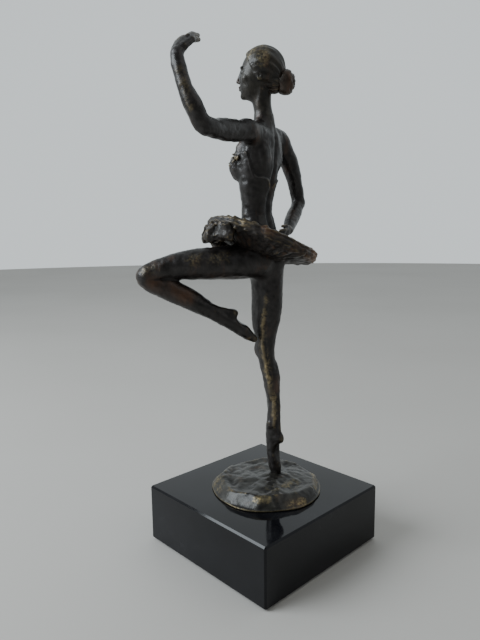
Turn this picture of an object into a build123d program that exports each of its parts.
"""Bronze dancer on a polished marble block, as the castings, pins and fasteners it is put together from.

Millimetres, +Z up. The origin is the centre of the felt's underside. The dancer faces -Y, so her left is +X.
"""

import os
from math import cos, pi, radians, sin

from build123d import *

# Driving dimensions ---------------------------------------------------------
BLOCK_SIDE = 81.0
BLOCK_HEIGHT = 28.5
BLOCK_CHAMFER = 0.8
FELT_THICK = 0.5
FELT_MARGIN = 2.0
BLOCK_TOP = FELT_THICK + BLOCK_HEIGHT

MOUND_CENTRE = (-0.3, 2.3)
MOUND_RADIUS = 27.1
MOUND_SHOULDER_RADIUS = 25.0
MOUND_SIDE_HEIGHT = 4.6
MOUND_CROWN_HEIGHT = 7.0

STUD_RADIUS = 3.0
STUD_PITCH = 1.0
STUD_INTO_MOUND = 4.6
BLOCK_HOLE_RADIUS = 3.4
COUNTERBORE_RADIUS = 11.0
COUNTERBORE_DEPTH = 12.0
WASHER_RADIUS = 9.0
WASHER_THICK = 1.6
LOCK_WASHER_RADIUS = 5.9
LOCK_WASHER_THICK = 1.6
NUT_ACROSS_FLATS = 10.0
NUT_THICK = 5.0
STUD_BELOW_NUT = 1.5

DOWEL_RADIUS = 1.25
HIP_DOWEL_RADIUS = 1.6
TOE_PIN_RADIUS = 1.0

SKIRT_RADIUS = 27.1
SKIRT_CENTRE = (0.2, 0.7, 151.6)
SKIRT_TILT_SIDE = 21.0  # the raised thigh lifts the left side of the skirt
SKIRT_TILT_FRONT = 7.5  # and its front
SKIRT_RIM_HALF = 1.7
SKIRT_TOP_RISE = 0.15  # rise of the upper face for each millimetre in from the rim
SKIRT_UNDER_DROP = 0.38
SKIRT_INNER_RADIUS = 5.0

# Body stations: centre x, y, z, then the half-widths across the body and front to back -----------
OVAL_POINTS = 12
STEPS_BETWEEN = 2  # sections for each stretch from one station to the next
LIMB_SIDE = Vector(0.25, 0.95, 0.2)  # no limb runs this way, so it can square their sections
HIP_JOINT_Z = 134.5
NECK_JOINT_Z = 207.0
STANDING_LEG = [
    (-6.2, 3.1, 34.0, 2.2, 2.4),
    (-6.1, 3.0, 38.0, 2.5, 2.9),
    (-5.7, 2.7, 42.0, 2.9, 3.5),
    (-5.5, 2.5, 47.0, 3.1, 3.9),
    (-5.5, 3.0, 53.5, 3.4, 4.8),
    (-5.3, 2.5, 60.0, 3.3, 3.9),
    (-5.5, 2.5, 66.0, 3.2, 3.6),
    (-5.6, 2.6, 70.5, 3.2, 3.4),
    (-5.1, 2.2, 78.0, 3.8, 4.0),
    (-4.2, 1.3, 86.0, 4.1, 4.3),
    (-3.2, 0.3, 92.5, 4.1, 4.2),
    (-2.5, -0.4, 98.5, 4.6, 4.7),
    (-2.8, -0.2, 106.0, 5.3, 5.4),
    (-3.1, 0.1, 113.5, 6.1, 6.5),
    (-3.3, 0.2, 123.0, 7.0, 7.3),
    (-3.4, 0.2, HIP_JOINT_Z, 7.6, 7.9),
]
# The last value turns the section about Z: the chest is twisted to her left above the hips.
TORSO = [
    (-3.4, 0.2, HIP_JOINT_Z, 7.6, 7.9, 0.0),
    (0.2, 0.5, 140.0, 10.8, 8.8, 0.0),
    (1.2, 0.5, 146.0, 11.4, 9.0, 0.0),
    (1.6, 0.2, 152.0, 10.4, 8.2, 2.0),
    (2.0, -0.3, 158.0, 9.2, 7.2, 4.0),
    (2.2, -0.6, 165.0, 8.0, 6.0, 6.0),
    (2.0, -0.7, 171.0, 8.8, 6.5, 9.0),
    (1.4, -0.8, 178.0, 10.4, 7.8, 13.0),
    (0.4, -0.4, 186.0, 12.0, 8.6, 16.0),
    (-0.4, 0.2, 193.0, 13.0, 7.6, 18.0),
    (-0.9, 0.7, 199.0, 11.0, 6.2, 18.0),
    (-1.0, 1.0, 203.0, 6.8, 5.0, 18.0),
    (-1.0, 1.0, NECK_JOINT_Z, 4.5, 4.5, 18.0),
]
SHOULDER_GIRDLE = ((-1.0, 0.9, 197.4), (15.6, 6.4, 5.8), 18.0)
BUST_CENTRE = (0.4, -0.4, 184.6)
BUST_TURN = 16.0
BUST_AHEAD, BUST_APART = 7.4, 5.2
BUST_HALF = (5.0, 5.0, 5.6)

# Stations of a bent limb: centre x, y, z and the radius of the section square to the limb --------
RAISED_THIGH = [
    (8.5, -0.6, 142.2, 8.0),
    (17.0, -6.2, 141.8, 7.8),
    (27.0, -13.4, 141.6, 7.3),
    (37.0, -20.6, 140.4, 6.1),
    (43.0, -24.9, 138.6, 5.2),
    (46.0, -27.0, 137.0, 4.6),
]
RAISED_KNEE = (46.3, -27.2, 136.0, 5.5)
RAISED_SHIN = [
    (45.8, -26.7, 134.2, 4.7),
    (41.2, -23.1, 131.4, 5.0),
    (34.7, -18.0, 127.5, 5.0),
    (28.2, -13.4, 123.1, 4.6),
    (22.8, -10.0, 119.3, 3.8),
    (18.2, -7.4, 115.9, 3.5),
    (13.8, -5.1, 112.9, 3.8),
    (10.0, -3.2, 109.7, 3.3),
    (7.2, -1.6, 107.1, 2.7),
    (5.2, -0.6, 105.3, 1.9),
]
RAISED_HEEL = (15.2, -5.3, 117.6, 2.8)
RAISED_ARM = [
    (9.5, 5.0, 199.6, 4.7),
    (14.0, 5.8, 199.3, 4.9),
    (20.0, 6.8, 198.6, 4.6),
    (28.0, 8.3, 197.7, 4.1),
    (36.0, 10.5, 197.1, 3.9),
    (42.6, 12.0, 197.0, 4.0),
    (46.8, 12.4, 199.2, 4.1),
    (48.7, 11.6, 203.6, 3.8),
    (51.2, 9.4, 211.0, 3.0),
    (52.0, 7.3, 218.6, 2.7),
    (51.7, 5.8, 224.0, 2.7),
    (49.2, 4.3, 228.2, 3.0),
    (45.0, 2.2, 231.0, 2.9),
    (40.6, -0.1, 233.0, 2.5),
    (36.9, -1.8, 234.6, 1.9),
    (34.4, -2.6, 235.6, 1.2),
]
RAISED_THUMB = [(48.4, 3.4, 228.0, 1.2), (45.0, -0.6, 229.2, 1.0), (41.8, -3.2, 230.4, 0.7)]
LOWERED_ARM = [
    (-12.4, -2.8, 201.2, 4.3),
    (-16.0, -3.8, 199.2, 4.9),
    (-19.6, -3.4, 194.6, 4.8),
    (-22.9, -2.4, 188.4, 4.3),
    (-25.8, -1.6, 179.6, 3.9),
    (-27.4, -1.2, 172.6, 3.4),
    (-26.3, -0.5, 167.8, 3.3),
    (-20.7, 1.9, 163.4, 3.7),
    (-14.3, 5.3, 159.3, 3.2),
    (-9.5, 8.6, 156.5, 2.4),
    (-5.8, 10.6, 155.4, 2.1),
    (-2.4, 11.6, 155.0, 1.8),
    (1.4, 12.0, 154.9, 1.1),
]
LOWERED_THUMB = [(-8.0, 9.2, 156.6, 1.1), (-4.6, 9.9, 158.4, 0.8)]
NECK = [
    (-1.0, 1.0, NECK_JOINT_Z, 4.5, 4.5),
    (-0.8, 0.8, 210.0, 4.2, 4.2),
    (-0.4, 0.4, 214.0, 4.0, 4.0),
    (0.0, 0.0, 220.0, 4.2, 4.2),
]

# Head: places are given ahead of and above the centre of the skull, with her face as "ahead" -----
HEAD_CENTRE = (-0.2, 0.2, 227.2)
HEAD_TURN = 38.0  # the face turns this far to her left of -Y
SKULL_HALF = (8.2, 10.3, 10.2)  # across, front to back, up
FACE = ((4.4, -5.0), (5.9, 6.6, 8.6))
BROW = ((9.4, 0.4), (4.2, 1.3, 1.1))
NOSE_BRIDGE, NOSE_TIP, NOSE_HALF = (9.8, -1.2), (11.6, -5.2), 0.8
LIPS = ((10.0, -8.2), (2.0, 0.9, 0.8))
CHIN = ((8.8, -11.2), (2.4, 1.8, 1.6))
EAR_ASIDE, EAR = 7.4, ((-0.8, -3.2), (0.9, 1.5, 2.3))
BUN = ((-11.4, -4.6), (5.2, 4.6, 5.8))

# The hem is gathered into a frill along the front left, over the raised thigh --------------------
FRILL_FROM, FRILL_TO = -118.0, 8.0
FRILL_RADIUS, FRILL_DROP = 24.2, 2.6
FRILL_HALF_WIDTH, FRILL_HALF_HEIGHT = 3.4, 5.2
FRILL_CLEARANCE = 0.1


def ball(x, y, z, radius):
    return Pos(x, y, z) * Sphere(radius)


def egg(centre, half, turn=0.0):
    """An ellipsoid with the given half-sizes, turned about Z."""
    return Pos(*centre) * Rot(0, 0, turn) * scale(Sphere(1), by=half)


def between(stations):
    """The same stations with more in between, on a smooth curve through them (Catmull-Rom)."""
    ends = [stations[0], *stations, stations[-1]]
    finer = []
    for before, start, end, after in zip(ends, ends[1:], ends[2:], ends[3:]):
        for step in range(STEPS_BETWEEN):
            t = step / STEPS_BETWEEN
            finer.append(tuple(
                0.5 * (2 * p1 + (p2 - p0) * t + (2 * p0 - 5 * p1 + 4 * p2 - p3) * t**2
                       + (3 * p1 - 3 * p2 + p3 - p0) * t**3)
                for p0, p1, p2, p3 in zip(before, start, end, after)
            ))
    return finer + [stations[-1]]


def oval(half_width, half_height):
    """A flat oval whose seam is always on +X, so that a loft through several doesn't twist."""
    turns = [2 * pi * i / OVAL_POINTS for i in range(OVAL_POINTS)]
    return make_face(Spline(*[(half_width * cos(a), half_height * sin(a)) for a in turns], periodic=True))


def upright_loft(stations):
    """A solid through level elliptical sections."""
    sections = []
    for x, y, z, across, deep, *turn in between(stations):
        place = Pos(x, y, z) * Rot(0, 0, turn[0] if turn else 0.0)
        sections.append(place * oval(across, deep))
    return loft(sections, ruled=True)


def limb(stations):
    """A solid through round sections that stand square to the line of the limb."""
    finer = between(stations)
    points = [Vector(*station[:3]) for station in finer]
    sections = []
    for i, (point, station) in enumerate(zip(points, finer)):
        along = (points[min(i + 1, len(points) - 1)] - points[max(i - 1, 0)]).normalized()
        aside = along.cross(LIMB_SIDE)
        sections.append(Plane(point, x_dir=aside, z_dir=along) * Circle(station[3]))
    return loft(sections, ruled=True)


def rod(start, end, radius):
    """A plain round pin between two points."""
    a, b = Vector(*start), Vector(*end)
    plane = Plane(a, z_dir=(b - a).normalized())
    return extrude(plane * Circle(radius), (b - a).length)


def ahead(centre, turn, distance, up=0.0, aside=0.0):
    """A point in front of and above a centre, for a body that is turned to her left of -Y."""
    angle = radians(turn)
    x = centre[0] + sin(angle) * distance + cos(angle) * aside
    y = centre[1] - cos(angle) * distance + sin(angle) * aside
    return (x, y, centre[2] + up)


# Base -----------------------------------------------------------------------
def make_felt():
    side = BLOCK_SIDE - 2 * FELT_MARGIN
    return extrude(RectangleRounded(side, side, 2.0), FELT_THICK)


def make_block():
    block = Pos(0, 0, FELT_THICK + BLOCK_HEIGHT / 2) * Box(BLOCK_SIDE, BLOCK_SIDE, BLOCK_HEIGHT)
    block = chamfer(block.edges(), BLOCK_CHAMFER)
    hole = Pos(0, 0, BLOCK_TOP - BLOCK_HEIGHT / 2) * Cylinder(BLOCK_HOLE_RADIUS, BLOCK_HEIGHT + 2)
    counterbore = Pos(0, 0, FELT_THICK) * Cylinder(
        COUNTERBORE_RADIUS, COUNTERBORE_DEPTH, align=(Align.CENTER, Align.CENTER, Align.MIN)
    )
    return block - hole - counterbore


def mound_profile():
    """Half section of the round bronze ground, from its axis out and back."""
    side = MOUND_SIDE_HEIGHT
    with BuildSketch(Plane.XZ) as sketch:
        with BuildLine():
            floor = Line((0, 0), (MOUND_RADIUS - 0.7, 0))
            edge = Spline(floor @ 1, (MOUND_RADIUS, side * 0.45), (MOUND_SHOULDER_RADIUS, side))
            crown = Spline(edge @ 1, (MOUND_SHOULDER_RADIUS * 0.5, side + 1.7), (0, MOUND_CROWN_HEIGHT),
                           tangents=[(-1, 0.35), (-1, 0)])
            Line(crown @ 1, floor @ 0)
        make_face()
    return sketch.sketch


def make_mound(standing_leg, stud, toe_pin):
    mound = Pos(*MOUND_CENTRE, BLOCK_TOP) * revolve(mound_profile(), Axis.Z)
    return mound - standing_leg - stud - toe_pin


def make_stud():
    """Threaded stud: rings stand for the thread."""
    bottom = FELT_THICK + COUNTERBORE_DEPTH - WASHER_THICK - LOCK_WASHER_THICK - NUT_THICK - STUD_BELOW_NUT
    top = BLOCK_TOP + STUD_INTO_MOUND
    turns = int((top - bottom) / STUD_PITCH)
    root = STUD_RADIUS - 0.55 * STUD_PITCH
    points = [(0, bottom), (root, bottom)]
    for turn in range(turns):
        low = bottom + turn * STUD_PITCH
        points += [(STUD_RADIUS, low + 0.45 * STUD_PITCH), (STUD_RADIUS, low + 0.55 * STUD_PITCH),
                   (root, low + STUD_PITCH)]
    points += [(0, points[-1][1])]
    return revolve(Plane.XZ * make_face(Polyline(*points, close=True)), Axis.Z)


def ring(outer, inner, low, thick):
    low_align = (Align.CENTER, Align.CENTER, Align.MIN)
    return Pos(0, 0, low) * (Cylinder(outer, thick, align=low_align) - Cylinder(inner, thick, align=low_align))


def make_washers_and_nut():
    """Flat washer, split lock washer and nut, stacked down from the counterbore's roof."""
    roof = FELT_THICK + COUNTERBORE_DEPTH
    washer = ring(WASHER_RADIUS, STUD_RADIUS + 0.2, roof - WASHER_THICK, WASHER_THICK)
    low = roof - WASHER_THICK - LOCK_WASHER_THICK
    lock = ring(LOCK_WASHER_RADIUS, STUD_RADIUS + 0.1, low, LOCK_WASHER_THICK)
    split = Pos(LOCK_WASHER_RADIUS * 0.75, 0, low + LOCK_WASHER_THICK / 2) * Rot(25, 0, 0) * Box(5.0, 0.7, 4.0)
    nut_low = low - NUT_THICK
    nut = Pos(0, 0, nut_low) * extrude(RegularPolygon(NUT_ACROSS_FLATS / 2, 6, major_radius=False), NUT_THICK)
    bore = Pos(0, 0, nut_low + NUT_THICK / 2) * Cylinder(STUD_RADIUS + 0.02, NUT_THICK)
    nut = chamfer((nut - bore).edges().filter_by(GeomType.LINE).group_by(Axis.Z)[-1], 0.4)
    return washer, lock - split, nut


# Castings --------------------------------------------------------------------
def make_raised_leg():
    return limb(RAISED_THIGH) + ball(*RAISED_KNEE) + limb(RAISED_SHIN) + ball(*RAISED_HEEL)


def make_raised_arm():
    return limb(RAISED_ARM) + limb(RAISED_THUMB)


def make_lowered_arm():
    return limb(LOWERED_ARM) + limb(LOWERED_THUMB)


def make_torso():
    torso = upright_loft(TORSO) + egg(*SHOULDER_GIRDLE)
    for side in (-1, 1):
        centre = ahead(BUST_CENTRE, BUST_TURN, BUST_AHEAD, aside=side * BUST_APART)
        torso += egg(centre, BUST_HALF, BUST_TURN)
    return torso


def on_head(place, half, aside=0.0):
    """An egg on the head, placed ahead of and above the centre of the skull."""
    return egg(ahead(HEAD_CENTRE, HEAD_TURN, *place, aside=aside), half, HEAD_TURN)


def make_head():
    head = egg(HEAD_CENTRE, SKULL_HALF, HEAD_TURN) + upright_loft(NECK)
    for feature in (FACE, BROW, LIPS, CHIN):
        head += on_head(*feature)
    for side in (-1, 1):
        head += on_head(*EAR, aside=side * EAR_ASIDE)
    bridge = ahead(HEAD_CENTRE, HEAD_TURN, *NOSE_BRIDGE)
    tip = ahead(HEAD_CENTRE, HEAD_TURN, *NOSE_TIP)
    return head + limb([(*bridge, NOSE_HALF * 0.8), (*tip, NOSE_HALF * 1.2)]) + ball(*tip, NOSE_HALF * 1.2)


def skirt_place():
    return Pos(*SKIRT_CENTRE) * Rot(-SKIRT_TILT_FRONT, 0, 0) * Rot(0, -SKIRT_TILT_SIDE, 0)


def skirt_blank():
    """The skirt before the body is let into it: thin at the rim, thick at the hips, tilted."""
    reach = SKIRT_RADIUS - SKIRT_INNER_RADIUS
    rim = SKIRT_RADIUS - SKIRT_RIM_HALF
    top = SKIRT_RIM_HALF + reach * SKIRT_TOP_RISE
    under = SKIRT_RIM_HALF + reach * SKIRT_UNDER_DROP
    with BuildSketch(Plane.XZ) as sketch:
        with BuildLine():
            lower = Line((SKIRT_INNER_RADIUS, -under), (rim, -SKIRT_RIM_HALF))
            edge = ThreePointArc(lower @ 1, (SKIRT_RADIUS, 0), (rim, SKIRT_RIM_HALF))
            upper = Line(edge @ 1, (SKIRT_INNER_RADIUS, top))
            Line(upper @ 1, lower @ 0)
        make_face()
    return skirt_place() * revolve(sketch.sketch, Axis.Z)


def along_the_hem(half_width, half_height, section):
    """A section swept round the stretch of rim that the frill takes up."""
    start = skirt_place() * Rot(0, 0, FRILL_FROM)
    profile = Plane.XZ * Pos(FRILL_RADIUS, -FRILL_DROP) * section(half_width, half_height)
    return start * revolve(profile, Axis.Z, FRILL_TO - FRILL_FROM)


def make_frill():
    """The gathered hem as one upright roll."""
    return along_the_hem(FRILL_HALF_WIDTH, FRILL_HALF_HEIGHT, oval)


def frill_notch():
    """What is cut from the skirt's rim to make room for the roll."""
    width = 2 * (FRILL_HALF_WIDTH + FRILL_CLEARANCE)
    return along_the_hem(width, 4 * FRILL_HALF_HEIGHT, Rectangle)


# Pins ------------------------------------------------------------------------
def pin_along(stations, back, forth, radius):
    """A pin on the line of a limb's first stretch, from before its first section to beyond it."""
    start, following = Vector(*stations[0][:3]), Vector(*stations[1][:3])
    way = (following - start).normalized()
    return rod(start - way * back, start + way * forth, radius)


def make_pins():
    shoulders = pin_along(RAISED_ARM, 6, 9, DOWEL_RADIUS)
    shoulders += pin_along(LOWERED_ARM, 6, 7, DOWEL_RADIUS)
    hips = pin_along(RAISED_THIGH, 5, 9, HIP_DOWEL_RADIUS)
    x, y, top = STANDING_LEG[-1][:3]
    hips += rod((x, y, top - 9), (x, y, top + 8), HIP_DOWEL_RADIUS)
    neck = pin_along(NECK, 7, 9, DOWEL_RADIUS)
    x, y, z = STANDING_LEG[0][:3]
    toe = rod((x, y, BLOCK_TOP + 1.5), (x + 0.5, y - 0.4, z + 16), TOE_PIN_RADIUS)
    return shoulders, hips, neck, toe


def less(shape, *others):
    for other in others:
        shape = shape - other
    return shape


def build():
    shoulder_dowels, hip_dowels, neck_dowel, toe_pin = make_pins()
    raised_arm = make_raised_arm() - shoulder_dowels
    lowered_arm = make_lowered_arm() - shoulder_dowels
    standing_leg = upright_loft(STANDING_LEG) - hip_dowels - toe_pin
    raised_leg = less(make_raised_leg(), hip_dowels, standing_leg)
    head = make_head() - neck_dowel
    torso = less(make_torso(), raised_arm, lowered_arm, raised_leg, shoulder_dowels, hip_dowels, neck_dowel)
    skirt = less(skirt_blank(), frill_notch(), torso, raised_leg, standing_leg, lowered_arm, hip_dowels)
    stud = make_stud()
    washer, lock_washer, nut = make_washers_and_nut()
    return {
        "felt_pad": make_felt(),
        "marble_block": make_block(),
        "fixing_stud": stud,
        "flat_washer": washer,
        "lock_washer": lock_washer,
        "fixing_nut": nut,
        "mound_casting": make_mound(standing_leg, stud, toe_pin),
        "toe_pin": toe_pin,
        "standing_leg": standing_leg,
        "raised_leg": raised_leg,
        "hip_dowels": hip_dowels,
        "torso": torso,
        "shoulder_dowels": shoulder_dowels,
        "raised_arm": raised_arm,
        "lowered_arm": lowered_arm,
        "neck_dowel": neck_dowel,
        "head": head,
        "hair_bun": on_head(*BUN) - head,
        "skirt": skirt,
        "skirt_frill": make_frill(),
    }


os.makedirs("parts", exist_ok=True)
for name, shape in build().items():
    export_step(shape, f"parts/{name}.step")
    print(name, len(shape.solids()), round(shape.volume, 1))
